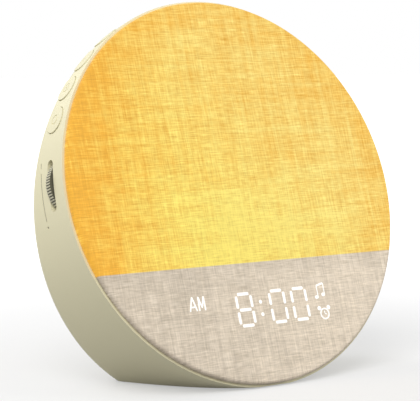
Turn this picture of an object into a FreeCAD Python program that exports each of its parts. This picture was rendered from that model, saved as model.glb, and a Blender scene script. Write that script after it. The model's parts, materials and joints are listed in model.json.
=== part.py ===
import FreeCAD, Part
import math
import os

from FreeCAD import Placement, Rotation, Vector

# Sunrise alarm clock: a slanted drum with a linen front, cut flat where it stands.
# Millimetres, +X to the viewer's right, +Y to the back, +Z up.
# The origin is the centre of the rubber pad that the clock rests on.

# Drum
DRUM_RADIUS = 86.0
WALL = 2.5
FACE_TILT = 18.47
REAR_TILT = 3.0
FRONT_LIFT = 0.1
FACE_Y = -9.0
REAR_DEPTH = 35.85
REAR_ROUNDING = 8.5
BASE_LIFT = 0.5

# Fits
SEAT_GAP = 0.05
FIT_GAP = 0.3
SHAFT_GAP = 0.05
BUTTON_GAP = 0.25
CUT_REACH = 5.0

# Linen front and the disc under it
LINEN_SETBACK = 1.0
LINEN_THICKNESS = 0.8
LINEN_EDGE = 1.5
FRONT_DEPTH = 2.5
LIP_GAP = 0.2
PLATE_THICKNESS = 2.2
NECK_WIDTH = 2.6
LEDGE_DEPTH = 4.8
LEDGE_THICKNESS = 1.5
LEDGE_WIDTH = 2.9

# Lamp
CHORD_RISE = 53.3
TRAY_WALL = 1.5
TRAY_FLANGE = 1.2
TRAY_MARGIN = 28.0
TRAY_FLARE_DEPTH = 1.4
TRAY_BACK = -9.5
LAMP_BOARD_MARGIN = 3.0
LAMP_BOARD_LENGTH = 12.0
LAMP_BOARD_THICKNESS = 1.0
LAMP_BOARD_DEPTH = 14.0
LED_SIZE = (2.8, 2.8, 0.9)
LED_COUNT = 12

# Display
DIGIT_HEIGHT = 15.0
DIGIT_WIDTH = 9.1
DIGIT_STROKE = 1.5
DIGIT_GAP = 0.35
DIGIT_DROP = 20.0
DIGIT_LEFTS = (-13.9, 3.8, 15.8)
COLON_X = -0.8
COLON_SPAN = 5.4
DISPLAY_MARGIN = 3.7
DISPLAY_LEFT = -42.0
DISPLAY_RIGHT = 43.0
BLOCK_BACK = 9.0
SEGMENT_DEPTH = 2.0
DISPLAY_BOARD_THICKNESS = 1.2

# Side buttons
BUTTON_RADIUS = 5.9
BUTTON_PROUD = 0.4
BUTTON_TRAVEL = 0.5
BUTTON_LENGTH = 6.4
BUTTON_FIRST_ANGLE = 65.0
BUTTON_PITCH = 10.3
BUTTON_FIRST_DEPTH = 12.6
BUTTON_DEPTH_STEP = 1.05
STEM_RADIUS = 1.5
STEM_LENGTH = 1.7
MARK_DEPTH = 0.25
MARK_RADIUS = 2.2
MARK_LINE = 0.45
MARK_DOT_RADIUS = 0.5
MARK_STROKE = 3.0
MARK_SPACING = 1.6
SWITCH_SIZE = (4.0, 4.0, 3.2)
PLUNGER_RADIUS = 1.0
PLUNGER_LENGTH = 0.7
PLUNGER_GAP = 0.7
SWITCH_BOARD_THICKNESS = 1.0
SWITCH_BOARD_WIDTH = 7.2
SWITCH_BOARD_START = 7.4
RAIL_THICKNESS = 2.8
RAIL_REACH = 7.0
RAIL_LEG = 1.4

# Thumbwheel
WHEEL_RADIUS = 13.0
WHEEL_WIDTH = 3.2
WHEEL_PROUD = 1.6
WHEEL_ANGLE = 84.3
WHEEL_DEPTH = 12.5
WHEEL_RIBS = 68
WHEEL_RIB_RADIUS = 0.35
SLOT_LENGTH = 21.8
SLOT_WIDTH = 4.4
AXLE_RADIUS = 1.5
BRACKET_THICKNESS = 1.1
BRACKET_WIDTH = 9.0
ENCODER_SIZE = 11.0
ENCODER_DEPTH = 4.0

# Level mark beside the wheel
LINE_DEPTH = 20.2
LINE_WIDTH = 0.6
LINE_CUT = 0.3
LINE_START = 79.6
LINE_END = 93.2
DASH_START = 76.6
DASH_END = 78.2
DOT_ANGLE = 94.9
DOT_RADIUS = 0.6

# Rear cover
COVER_MARGIN = 22.3
COVER_THICKNESS = 2.5
DOME_MARGIN = 1.7
DOME_HEIGHT = 10.0
SEAT_WIDTH = 3.7
SEAT_THICKNESS = 2.0
SEAT_OVERLAP = 2.5
SCREW_MARGIN = 7.7
SCREW_ANGLES = (45.0, 135.0, 215.0, 325.0)
LUG_RADIUS = 5.0
LUG_LENGTH = 6.0
SCREW_RADIUS = 1.4
SCREW_HEAD_RADIUS = 2.8
SCREW_HEAD = 1.8
SCREW_LENGTH = 6.5
SCREW_HOLE_GAP = 0.05

# Main board
BOARD_THICKNESS = 1.6
BOARD_FRONT = -7.6
BOARD_LEFT = -30.0
BOARD_RIGHT = 33.0
BOARD_BOTTOM = -14.0
BOARD_TOP = 36.0
BOARD_SCREW_INSET = 4.0
BOSS_RADIUS = 3.0
SMALL_SCREW_RADIUS = 1.0
SMALL_HEAD_RADIUS = 2.0
SMALL_HEAD = 1.3
SMALL_SCREW_LENGTH = 5.0
CELL_RADIUS = 10.0
CELL_THICKNESS = 3.2
CELL_X = -10.0
CELL_Z = 16.0
HOLDER_SIZE = 23.0
HOLDER_FLOOR = 0.7
CAPACITOR_RADIUS = 2.5
CAPACITOR_HEIGHT = 5.5
CAPACITOR_PLACES = (9.0, 15.5)
CAPACITOR_Z = -8.0

# Flat lead between the boards
RIBBON_X = 20.0
RIBBON_WIDTH = 10.0
RIBBON_THICKNESS = 0.3
RIBBON_REACH = 3.0

# Speaker
SPEAKER_RADIUS = 19.5
SPEAKER_Z = -39.0
SPEAKER_FLANGE = 1.2
SPEAKER_SEAT = -2.0
SPEAKER_BASKET_DEPTH = 3.4
SPEAKER_RIM = 3.9
SPEAKER_SURROUND = 3.0
SPEAKER_BACK_RADIUS = 10.0
MAGNET_RADIUS = 11.0
MAGNET_THICKNESS = 2.6
GRILLE_HOLE = 0.9
GRILLE_PITCH = 4.4
GRILLE_RINGS = 3
BASKET_WALL = 1.0
COIL_RADIUS = 4.0
COIL_LENGTH = 0.8
PAPER = 0.5
SPEAKER_SCREW_INSET = 1.9
SPEAKER_SCREW_LENGTH = 3.5
SPEAKER_HEAD_RADIUS = 1.5

# Power socket
SOCKET_SIZE = (9.0, 7.3, 3.3)
SOCKET_X = 44.0
SOCKET_Z = -12.0
SOCKET_SINK = 0.6
SOCKET_WALL = 0.35
SOCKET_BOARD = (15.0, 9.0, 1.2)
SOCKET_FLOOR = 1.5
TONGUE_SIZE = (6.6, 0.7)
RAIL_WIDTH = 1.4
RAIL_HEIGHT = 5.0

# Pad
PAD_MARGIN = 6.0
PAD_HEIGHT = 1.4
PAD_RECESS = 1.0
PAD_REAR = 24.0
PAD_GAP = 0.1

FAR = 400.0

HOUSING_FRONT = FRONT_DEPTH + LIP_GAP
FACE_HEIGHT = (
    DRUM_RADIUS * math.cos(math.radians(FACE_TILT))
    + HOUSING_FRONT * math.sin(math.radians(FACE_TILT))
    + FRONT_LIFT
)
FACE = Placement(Vector(0, FACE_Y, FACE_HEIGHT), Rotation(Vector(1, 0, 0), -FACE_TILT))
WEDGE = FACE_TILT - REAR_TILT
REAR_IN_FACE = Placement(Vector(0, REAR_DEPTH, 0), Rotation(Vector(1, 0, 0), WEDGE))
BUTTON_NAMES = ("alarm_button", "light_button", "sound_button", "set_button")
BUTTONS = len(BUTTON_NAMES)
INNER_RADIUS = DRUM_RADIUS - WALL
LINEN_RADIUS = DRUM_RADIUS - LINEN_SETBACK
TRAY_RADIUS = DRUM_RADIUS - TRAY_MARGIN
COVER_RADIUS = DRUM_RADIUS - COVER_MARGIN
DOME_RADIUS = COVER_RADIUS - DOME_MARGIN
SEAT_RADIUS = COVER_RADIUS - SEAT_WIDTH
SCREW_CIRCLE = COVER_RADIUS - SCREW_MARGIN
LIT_CHORD = CHORD_RISE - DRUM_RADIUS
DIGIT_MIDDLE = LIT_CHORD - DIGIT_DROP
DISPLAY_TOP = DIGIT_MIDDLE + DIGIT_HEIGHT / 2 + DISPLAY_MARGIN
DISPLAY_BOTTOM = DIGIT_MIDDLE - DIGIT_HEIGHT / 2 - DISPLAY_MARGIN
BOARD_BACK = BOARD_FRONT + BOARD_THICKNESS
LAMP_BOARD_WIDTH = 2 * (math.sqrt((TRAY_RADIUS - TRAY_WALL) ** 2 - LIT_CHORD ** 2) - LAMP_BOARD_MARGIN)
SPEAKER_CONE_RADIUS = SPEAKER_RADIUS - SPEAKER_RIM - SPEAKER_SURROUND
SPEAKER_SCREW_CIRCLE = SPEAKER_RADIUS - SPEAKER_SCREW_INSET
WHEEL_CENTRE = DRUM_RADIUS + WHEEL_PROUD - WHEEL_RADIUS


def box(low, high):
    size = Vector(*high) - Vector(*low)
    return Part.makeBox(size.x, size.y, size.z, Vector(*low))


def rod(radius, start, end, x=0.0, z=0.0):
    """A round bar along depth (Y), from start to end."""
    return Part.makeCylinder(radius, end - start, Vector(x, start, z), Vector(0, 1, 0))


def cone(radius_a, radius_b, start, end, x=0.0, z=0.0):
    return Part.makeCone(radius_a, radius_b, end - start, Vector(x, start, z), Vector(0, 1, 0))


def ring(outer, inner, start, end, x=0.0, z=0.0):
    return rod(outer, start, end, x, z).cut(rod(inner, start - 1, end + 1, x, z))


def rear(shape):
    """Move a shape drawn on the rear plane into the face frame."""
    placed = shape.copy()
    placed.Placement = REAR_IN_FACE.multiply(placed.Placement)
    return placed


def ground_above(height):
    """All space above a level height over the ground, in the face frame."""
    block = box((-FAR, -FAR, height), (FAR, FAR, FAR))
    block.Placement = FACE.inverse().multiply(block.Placement)
    return block


def rear_front_of(offset):
    """All space in front of a plane parallel to the rear plane, in the face frame."""
    return rear(box((-FAR, -FAR, -FAR), (FAR, offset, FAR)))


def radial(angle, depth):
    """Frame whose +Z points out of the wall at an angle from the top, to the viewer's left."""
    turn = Rotation(Vector(0, 1, 0), -angle)
    return Placement(Vector(0, depth, 0), turn)


def at_radial(shape, angle, depth):
    placed = shape.copy()
    placed.Placement = radial(angle, depth).multiply(placed.Placement)
    return placed


def sector(outer, inner, start, end, angle_a, angle_b):
    """A curved strip between two angles from the top, to the viewer's left."""
    low = Vector(-math.sin(math.radians(angle_a)), 0, math.cos(math.radians(angle_a)))
    high = Vector(-math.sin(math.radians(angle_b)), 0, math.cos(math.radians(angle_b)))
    middle = math.radians((angle_a + angle_b) / 2)
    centre = Vector(-math.sin(middle), 0, math.cos(middle))
    drop = Vector(0, start, 0)
    edges = [
        Part.Arc(low * outer + drop, centre * outer + drop, high * outer + drop).toShape(),
        Part.makeLine(high * outer + drop, high * inner + drop),
        Part.Arc(high * inner + drop, centre * inner + drop, low * inner + drop).toShape(),
        Part.makeLine(low * inner + drop, low * outer + drop),
    ]
    return Part.Face(Part.Wire(edges)).extrude(Vector(0, end - start, 0))


def body_form(offset):
    """The drum's outer form moved outwards by an offset, before it is cut flat below."""
    radius = DRUM_RADIUS + offset
    form = rod(radius, HOUSING_FRONT, FAR / 2).common(rear_front_of(offset))
    top_depth = REAR_DEPTH - radius * math.tan(math.radians(WEDGE)) - HOUSING_FRONT
    rounding = min(REAR_ROUNDING + offset, top_depth * 0.95)
    edges = [edge for edge in form.Edges if edge.BoundBox.YLength > 1.0 and edge.BoundBox.XLength > radius]
    return form.makeFillet(rounding, edges)


def button_place(index):
    angle = BUTTON_FIRST_ANGLE - index * BUTTON_PITCH
    depth = BUTTON_FIRST_DEPTH - index * BUTTON_DEPTH_STEP
    return angle, depth


def radial_rod(radius, start, end, angle, depth):
    return at_radial(Part.makeCylinder(radius, end - start, Vector(0, 0, start)), angle, depth)


def wheel_slot():
    half = SLOT_LENGTH / 2 - SLOT_WIDTH / 2
    deep = DRUM_RADIUS / 2
    block = box((-half, -SLOT_WIDTH / 2, deep), (half, SLOT_WIDTH / 2, DRUM_RADIUS + CUT_REACH))
    for side in (-half, half):
        block = block.fuse(Part.makeCylinder(SLOT_WIDTH / 2, DRUM_RADIUS + CUT_REACH - deep, Vector(side, 0, deep)))
    return at_radial(block, WHEEL_ANGLE, WHEEL_DEPTH)


def level_mark():
    low = LINE_DEPTH - LINE_WIDTH / 2
    high = LINE_DEPTH + LINE_WIDTH / 2
    inner = DRUM_RADIUS - LINE_CUT
    line = sector(DRUM_RADIUS + 1, inner, low, high, LINE_START, LINE_END)
    dash = sector(DRUM_RADIUS + 1, inner, low, high, DASH_START, DASH_END)
    dot = radial_rod(DOT_RADIUS, inner, DRUM_RADIUS + 1, DOT_ANGLE, LINE_DEPTH)
    return [line, dash, dot]


def screw_places():
    for angle in SCREW_ANGLES:
        turn = math.radians(angle)
        yield SCREW_CIRCLE * math.cos(turn), SCREW_CIRCLE * math.sin(turn)


def lug(x, z):
    low = -WALL - LUG_LENGTH
    reach = (SEAT_RADIUS + SEAT_OVERLAP) / SCREW_CIRCLE
    bar = box((0, low, -LUG_RADIUS), (SCREW_CIRCLE * (reach - 1), -WALL, LUG_RADIUS))
    bar.Placement = Placement(
        Vector(x, 0, z), Rotation(Vector(0, 1, 0), -math.degrees(math.atan2(z, x)))
    )
    hole = rod(SCREW_RADIUS + SCREW_HOLE_GAP, low - 1, 0, x, z)
    return rod(LUG_RADIUS, low, -WALL, x, z).fuse(bar).cut(hole)


def pad_form(margin, bottom, top):
    """The outline of the pad's recess, from the drum's own footprint."""
    slab = box((-FAR, -FAR, bottom), (FAR, FACE_Y + PAD_REAR - margin, top))
    slab.Placement = FACE.inverse().multiply(slab.Placement)
    return slab.common(rod(DRUM_RADIUS - PAD_MARGIN - margin, 0, FAR / 2))


def drum_shell():
    shell = body_form(0.0).common(ground_above(BASE_LIFT))
    hollow = body_form(-WALL).common(ground_above(BASE_LIFT + WALL))
    shell = shell.cut(hollow)
    shell = shell.cut(rod(INNER_RADIUS, 0, LEDGE_DEPTH))
    ledge = ring(INNER_RADIUS + WALL / 2, INNER_RADIUS - LEDGE_WIDTH, LEDGE_DEPTH, LEDGE_DEPTH + LEDGE_THICKNESS)
    shell = shell.fuse(ledge.common(ground_above(BASE_LIFT)))
    opening = rear(rod(COVER_RADIUS + FIT_GAP, -WALL - 1, 1))
    shell = shell.cut(opening)
    outer = COVER_RADIUS + FIT_GAP + SEAT_OVERLAP
    seat = ring(outer, SEAT_RADIUS, -WALL - SEAT_THICKNESS, -WALL)
    for x, z in screw_places():
        seat = seat.fuse(lug(x, z))
    shell = shell.fuse(rear(seat).common(ground_above(BASE_LIFT + WALL / 2)))
    shell = shell.fuse(switch_rail())
    for index in range(BUTTONS):
        angle, depth = button_place(index)
        inner = DRUM_RADIUS - BUTTON_LENGTH - BUTTON_TRAVEL - FIT_GAP
        shell = shell.cut(radial_rod(BUTTON_RADIUS + BUTTON_GAP, inner, DRUM_RADIUS + CUT_REACH, angle, depth))
    shell = shell.cut(wheel_slot())
    for mark in level_mark():
        shell = shell.cut(mark)
    return shell.cut(pad_form(0.0, 0.0, BASE_LIFT + PAD_RECESS))


def switch_radius():
    """Distance from the drum's axis to the outer face of the switch board."""
    stem_end = DRUM_RADIUS - BUTTON_LENGTH - STEM_LENGTH
    return stem_end - PLUNGER_GAP - PLUNGER_LENGTH - SWITCH_SIZE[2]


def switch_board_angles():
    last, depth = button_place(BUTTONS - 1)
    return last - RAIL_REACH + RAIL_LEG, BUTTON_FIRST_ANGLE + RAIL_REACH - RAIL_LEG


def switch_rail():
    """Curved rail that carries the switch board, on two legs beside the outer buttons."""
    first, last = switch_board_angles()
    top = switch_radius() - SWITCH_BOARD_THICKNESS - SEAT_GAP
    start = SWITCH_BOARD_START
    end = start + SWITCH_BOARD_WIDTH
    rail = sector(top, top - RAIL_THICKNESS, start, end, first - RAIL_LEG, last + RAIL_LEG)
    for angle in (first - RAIL_LEG, last):
        leg = sector(DRUM_RADIUS - WALL / 2, top - RAIL_THICKNESS / 2, start, end, angle, angle + RAIL_LEG)
        rail = rail.fuse(leg)
    return rail.common(body_form(-WALL / 2))


def linen_cover():
    outer = rod(LINEN_RADIUS, 0, FRONT_DEPTH)
    outer = outer.makeFillet(LINEN_EDGE, [edge for edge in outer.Edges if edge.CenterOfMass.y < 0.01 and edge.Length > 1])
    inner = rod(LINEN_RADIUS - LINEN_THICKNESS, LINEN_THICKNESS, FRONT_DEPTH + 1)
    inner_edges = [
        edge for edge in inner.Edges
        if edge.CenterOfMass.y < LINEN_THICKNESS + 0.01 and edge.BoundBox.YLength < 0.1
    ]
    return outer.cut(inner.makeFillet(LINEN_EDGE - LINEN_THICKNESS, inner_edges))


def display_window(margin):
    start = LINEN_THICKNESS - 1
    return box(
        (DISPLAY_LEFT - margin, start, DISPLAY_BOTTOM - margin),
        (DISPLAY_RIGHT + margin, FAR, DISPLAY_TOP + margin),
    )


def clear_of_buttons(shape):
    """Cut room for the buttons out of a rim that they pass."""
    inner = DRUM_RADIUS - BUTTON_LENGTH - BUTTON_TRAVEL - FIT_GAP
    for index in range(BUTTONS):
        angle, depth = button_place(index)
        shape = shape.cut(radial_rod(BUTTON_RADIUS + 2 * FIT_GAP, inner, DRUM_RADIUS, angle, depth))
    return shape


def front_diffuser():
    front = LINEN_THICKNESS + SEAT_GAP
    radius = LINEN_RADIUS - LINEN_THICKNESS - SEAT_GAP
    disc = rod(radius, front, FRONT_DEPTH)
    front_edges = [
        edge for edge in disc.Edges
        if edge.CenterOfMass.y < front + 0.01 and edge.BoundBox.YLength < 0.1
    ]
    disc = disc.makeFillet(LINEN_EDGE - LINEN_THICKNESS, front_edges)
    neck_radius = INNER_RADIUS - FIT_GAP
    neck = rod(neck_radius, FRONT_DEPTH, LEDGE_DEPTH - SEAT_GAP)
    hollow = rod(neck_radius - NECK_WIDTH, front + PLATE_THICKNESS, FAR / 2)
    return clear_of_buttons(disc.fuse(neck).cut(hollow).cut(display_window(FIT_GAP)))


def above_chord(height):
    return box((-FAR, -FAR, height), (FAR, FAR, FAR))


def light_tray():
    start = LEDGE_DEPTH
    rim = INNER_RADIUS - LEDGE_WIDTH - FIT_GAP
    shell = cone(rim, TRAY_RADIUS, start + TRAY_FLANGE, start + TRAY_FLARE_DEPTH + TRAY_FLANGE)
    shell = shell.fuse(rod(rim, start, start + TRAY_FLANGE))
    shell = shell.fuse(rod(TRAY_RADIUS, start, FAR / 4)).common(rear_front_of(TRAY_BACK))
    shell = shell.common(above_chord(LIT_CHORD - TRAY_WALL))
    hollow = cone(rim - TRAY_WALL, TRAY_RADIUS - TRAY_WALL, start - 1, start + TRAY_FLARE_DEPTH)
    hollow = hollow.fuse(rod(TRAY_RADIUS - TRAY_WALL, start - 1, FAR / 4))
    hollow = hollow.common(rear_front_of(TRAY_BACK - TRAY_WALL)).common(above_chord(LIT_CHORD))
    return clear_of_buttons(shell.cut(hollow))


def light_board():
    half = LAMP_BOARD_WIDTH / 2
    low = (-half, LAMP_BOARD_DEPTH, LIT_CHORD)
    return box(low, (half, LAMP_BOARD_DEPTH + LAMP_BOARD_LENGTH, LIT_CHORD + LAMP_BOARD_THICKNESS))


def light_leds():
    pitch = LAMP_BOARD_WIDTH / LED_COUNT
    base = LIT_CHORD + LAMP_BOARD_THICKNESS
    middle = LAMP_BOARD_DEPTH + LAMP_BOARD_LENGTH / 2
    leds = []
    for index in range(LED_COUNT):
        x = -LAMP_BOARD_WIDTH / 2 + pitch * (index + 0.5)
        low = (x - LED_SIZE[0] / 2, middle - LED_SIZE[1] / 2, base)
        leds.append(box(low, (x + LED_SIZE[0] / 2, middle + LED_SIZE[1] / 2, base + LED_SIZE[2])))
    return Part.makeCompound(leds)


def bar(centre_x, centre_z, length, across):
    """One lit bar of a digit with pointed ends, along X or, where across is false, along Z."""
    half = length / 2 - DIGIT_GAP
    thick = DIGIT_STROKE / 2
    outline = [(-half, 0), (-half + thick, thick), (half - thick, thick), (half, 0),
               (half - thick, -thick), (-half + thick, -thick)]
    start = LINEN_THICKNESS + SEAT_GAP
    points = []
    for along, side in outline:
        x, z = (along, side) if across else (side, along)
        points.append(Vector(centre_x + x, start, centre_z + z))
    points.append(points[0])
    return Part.Face(Part.makePolygon(points)).extrude(Vector(0, SEGMENT_DEPTH, 0))


def digit(left, lit):
    """Seven bars of one digit; lit holds the letters of the bars that are present."""
    width = DIGIT_WIDTH - DIGIT_STROKE
    height = (DIGIT_HEIGHT - DIGIT_STROKE) / 2
    middle_x = left + DIGIT_WIDTH / 2
    places = {
        "a": (middle_x, DIGIT_MIDDLE + height, width, True),
        "g": (middle_x, DIGIT_MIDDLE, width, True),
        "d": (middle_x, DIGIT_MIDDLE - height, width, True),
        "f": (middle_x - width / 2, DIGIT_MIDDLE + height / 2, height, False),
        "b": (middle_x + width / 2, DIGIT_MIDDLE + height / 2, height, False),
        "e": (middle_x - width / 2, DIGIT_MIDDLE - height / 2, height, False),
        "c": (middle_x + width / 2, DIGIT_MIDDLE - height / 2, height, False),
    }
    return [bar(*places[name]) for name in lit]


def segment_solids():
    solids = []
    for left in DIGIT_LEFTS:
        solids += digit(left, "abcdefg")
    for side in (-1, 1):
        x = COLON_X
        z = DIGIT_MIDDLE + side * COLON_SPAN / 2
        half = DIGIT_STROKE / 2
        start = LINEN_THICKNESS + SEAT_GAP
        solids.append(box((x - half, start, z - half), (x + half, start + SEGMENT_DEPTH, z + half)))
    return solids


def display_segments():
    return Part.makeCompound(segment_solids())


def display_block():
    start = LINEN_THICKNESS + SEAT_GAP
    block = box((DISPLAY_LEFT, start, DISPLAY_BOTTOM), (DISPLAY_RIGHT, BLOCK_BACK, DISPLAY_TOP))
    return block.cut(Part.makeCompound(segment_solids()))


def display_board():
    end = BLOCK_BACK + DISPLAY_BOARD_THICKNESS
    return box((DISPLAY_LEFT, BLOCK_BACK, DISPLAY_BOTTOM), (DISPLAY_RIGHT, end, DISPLAY_TOP))


def button_mark(index):
    """Small generic mark cut into a button's cap."""
    long = DRUM_RADIUS + CUT_REACH
    ring_mark = Part.makeCylinder(MARK_RADIUS, long).cut(Part.makeCylinder(MARK_RADIUS - MARK_LINE, long))
    stroke = box((-MARK_STROKE / 2, -MARK_LINE / 2, 0), (MARK_STROKE / 2, MARK_LINE / 2, long))
    dot = Part.makeCylinder(MARK_DOT_RADIUS, long)
    marks = (
        [ring_mark],
        [ring_mark, dot],
        [stroke.translated(Vector(0, side * MARK_SPACING / 2, 0)) for side in (-1, 1)],
        [stroke],
    )
    angle, depth = button_place(index)
    return [at_radial(mark, angle, depth) for mark in marks[index]]


def side_button(index):
    angle, depth = button_place(index)
    inner = DRUM_RADIUS - BUTTON_LENGTH
    cap = radial_rod(BUTTON_RADIUS, inner, DRUM_RADIUS + CUT_REACH, angle, depth).common(body_form(BUTTON_PROUD))
    skin = body_form(BUTTON_PROUD - MARK_DEPTH)
    for mark in button_mark(index):
        cap = cap.cut(mark.cut(skin))
    stem = radial_rod(STEM_RADIUS, inner - STEM_LENGTH, inner, angle, depth)
    return cap.fuse(stem)


def tact_switches():
    solids = []
    base = switch_radius()
    half_x = SWITCH_SIZE[0] / 2
    half_y = SWITCH_SIZE[1] / 2
    for index in range(BUTTONS):
        angle, depth = button_place(index)
        sink = base - math.sqrt(base ** 2 - half_x ** 2)
        can = box((-half_x, -half_y, base + SEAT_GAP), (half_x, half_y, base + SWITCH_SIZE[2]))
        plunger = Part.makeCylinder(PLUNGER_RADIUS, PLUNGER_LENGTH, Vector(0, 0, base + SWITCH_SIZE[2]))
        feet = box((-half_x, -half_y, base - sink), (half_x, half_y, base + SEAT_GAP))
        feet = at_radial(feet, angle, depth).cut(rod(base, 0, FAR / 4))
        solids.append(at_radial(can.fuse(plunger), angle, depth).fuse(feet))
    return Part.makeCompound(solids)


def button_board():
    outer = switch_radius()
    first, last = switch_board_angles()
    end = SWITCH_BOARD_START + SWITCH_BOARD_WIDTH
    edge = math.degrees(FIT_GAP / outer)
    return sector(outer, outer - SWITCH_BOARD_THICKNESS, SWITCH_BOARD_START, end, first + edge, last - edge)


def volume_wheel():
    half = WHEEL_WIDTH / 2
    wheel = Part.makeCylinder(WHEEL_RADIUS, WHEEL_WIDTH, Vector(0, -half, WHEEL_CENTRE), Vector(0, 1, 0))
    wheel = wheel.cut(Part.makeCylinder(AXLE_RADIUS, WHEEL_WIDTH, Vector(0, -half, WHEEL_CENTRE), Vector(0, 1, 0)))
    groove = Part.makeCylinder(WHEEL_RIB_RADIUS, WHEEL_WIDTH + 2, Vector(0, -half - 1, 0), Vector(0, 1, 0))
    grooves = []
    for index in range(WHEEL_RIBS):
        turn = 2 * math.pi * index / WHEEL_RIBS
        x = WHEEL_RADIUS * math.sin(turn)
        z = WHEEL_CENTRE + WHEEL_RADIUS * math.cos(turn)
        grooves.append(groove.translated(Vector(x, 0, z)))
    return at_radial(wheel.cut(Part.makeCompound(grooves)), WHEEL_ANGLE, WHEEL_DEPTH)


def arm_start(side):
    """Inner face of a bracket arm, before (-1) or behind (+1) the wheel."""
    return side * (WHEEL_WIDTH / 2 + FIT_GAP + 0.1)


def wheel_axle():
    front = arm_start(-1) - BRACKET_THICKNESS
    back = arm_start(1) + BRACKET_THICKNESS + ENCODER_DEPTH * 0.8
    pin = Part.makeCylinder(AXLE_RADIUS, back - front, Vector(0, front, WHEEL_CENTRE), Vector(0, 1, 0))
    return at_radial(pin, WHEEL_ANGLE, WHEEL_DEPTH)


def wheel_bracket():
    low = WHEEL_CENTRE - WHEEL_RADIUS - 2 * FIT_GAP
    top = math.sqrt(INNER_RADIUS ** 2 - (BRACKET_WIDTH / 2) ** 2) - SEAT_GAP
    front = arm_start(-1)
    back = arm_start(1)
    half = BRACKET_WIDTH / 2
    frame = box((-half, front - BRACKET_THICKNESS, low - BRACKET_THICKNESS), (half, front, top))
    frame = frame.fuse(box((-half, back, low - BRACKET_THICKNESS), (half, back + BRACKET_THICKNESS, top)))
    frame = frame.fuse(box((-half, front, low - BRACKET_THICKNESS), (half, back, low)))
    bore = rod(AXLE_RADIUS + SHAFT_GAP, -FAR, FAR, 0, WHEEL_CENTRE)
    return at_radial(frame.cut(bore), WHEEL_ANGLE, WHEEL_DEPTH)


def wheel_encoder():
    start = arm_start(1) + BRACKET_THICKNESS
    half = ENCODER_SIZE / 2
    body = box((-half, start, WHEEL_CENTRE - half), (half, start + ENCODER_DEPTH, WHEEL_CENTRE + half))
    deep = ENCODER_DEPTH * 0.9
    bore = Part.makeCylinder(AXLE_RADIUS + SHAFT_GAP, deep, Vector(0, start, WHEEL_CENTRE), Vector(0, 1, 0))
    return at_radial(body.cut(bore), WHEEL_ANGLE, WHEEL_DEPTH)


def dome_sphere_radius():
    return (DOME_RADIUS ** 2 + DOME_HEIGHT ** 2) / (2 * DOME_HEIGHT)


def dome_form(shrink):
    """Space inside the rear dome's sphere, moved inwards by shrink."""
    radius = dome_sphere_radius()
    return Part.makeSphere(radius - shrink, Vector(0, DOME_HEIGHT - radius, 0))


def dome_surface(x, z, shrink):
    """Depth of the dome's surface at a place on the rear plane."""
    radius = dome_sphere_radius()
    return DOME_HEIGHT - radius + math.sqrt((radius - shrink) ** 2 - x ** 2 - z ** 2)


def board_corners():
    inset = BOARD_SCREW_INSET
    for x in (BOARD_LEFT + inset, BOARD_RIGHT - inset):
        for z in (BOARD_BOTTOM + inset, BOARD_TOP - inset):
            yield x, z


def speaker_screw_places():
    for angle in (0.0, 90.0, 180.0, 270.0):
        turn = math.radians(angle)
        yield SPEAKER_SCREW_CIRCLE * math.cos(turn), SPEAKER_Z + SPEAKER_SCREW_CIRCLE * math.sin(turn)


def grille_holes():
    holes = []
    for step in range(GRILLE_RINGS + 1):
        count = max(1, 6 * step)
        for index in range(count):
            turn = 2 * math.pi * index / count
            x = step * GRILLE_PITCH * math.cos(turn)
            z = SPEAKER_Z + step * GRILLE_PITCH * math.sin(turn)
            holes.append(rod(GRILLE_HOLE, -1, DOME_HEIGHT + CUT_REACH, x, z))
    return Part.makeCompound(holes)


def socket_board_top():
    return SOCKET_Z - SOCKET_SIZE[2] / 2


def rear_cover():
    plate = rod(COVER_RADIUS, -COVER_THICKNESS, 0)
    cap = dome_form(0.0).common(rod(DOME_RADIUS, 0, FAR / 2))
    cover = plate.fuse(cap)
    hollow = dome_form(COVER_THICKNESS).common(rod(SEAT_RADIUS - 1, -COVER_THICKNESS, FAR / 2))
    cover = cover.cut(hollow)
    inside = rod(SEAT_RADIUS - 1, BOARD_BACK, FAR / 2).common(dome_form(COVER_THICKNESS / 2))
    for x, z in screw_places():
        post = rod(LUG_RADIUS, -COVER_THICKNESS, FAR / 4, x, z).common(dome_form(COVER_THICKNESS / 2))
        cover = cover.fuse(post)
    for x, z in board_corners():
        cover = cover.fuse(rod(BOSS_RADIUS, BOARD_BACK, FAR / 4, x, z).common(inside))
    seat = ring(SPEAKER_RADIUS, SPEAKER_CONE_RADIUS + SPEAKER_SURROUND, SPEAKER_SEAT, FAR / 4, 0, SPEAKER_Z)
    cover = cover.fuse(seat.common(dome_form(COVER_THICKNESS / 2)))
    half = SOCKET_BOARD[0] / 2
    rail_low = socket_board_top() - SOCKET_BOARD[2] - 1
    for side in (-1, 1):
        x = SOCKET_X + side * (half + SEAT_GAP)
        rail = box((min(x, x + side * RAIL_WIDTH), -SOCKET_BOARD[1], rail_low),
                   (max(x, x + side * RAIL_WIDTH), FAR / 8, rail_low + RAIL_HEIGHT))
        cover = cover.fuse(rail.common(dome_form(COVER_THICKNESS / 2)))
    for x, z in screw_places():
        cover = cover.cut(rod(SCREW_RADIUS + FIT_GAP, -FAR / 8, FAR / 8, x, z))
        head_seat = dome_surface(x, z, 0.0) - SCREW_HEAD
        cover = cover.cut(rod(SCREW_HEAD_RADIUS + FIT_GAP, head_seat, FAR / 8, x, z))
    for x, z in board_corners():
        cover = cover.cut(rod(SMALL_SCREW_RADIUS + SCREW_HOLE_GAP, -FAR / 8, BOARD_BACK + SMALL_SCREW_LENGTH, x, z))
    for x, z in speaker_screw_places():
        end = SPEAKER_SEAT + SPEAKER_SCREW_LENGTH - SPEAKER_FLANGE + FIT_GAP
        cover = cover.cut(rod(SMALL_SCREW_RADIUS + SCREW_HOLE_GAP, SPEAKER_SEAT - 1, end, x, z))
    cover = cover.cut(grille_holes())
    return cover.cut(socket_form(SEAT_GAP, FAR / 8))


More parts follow.
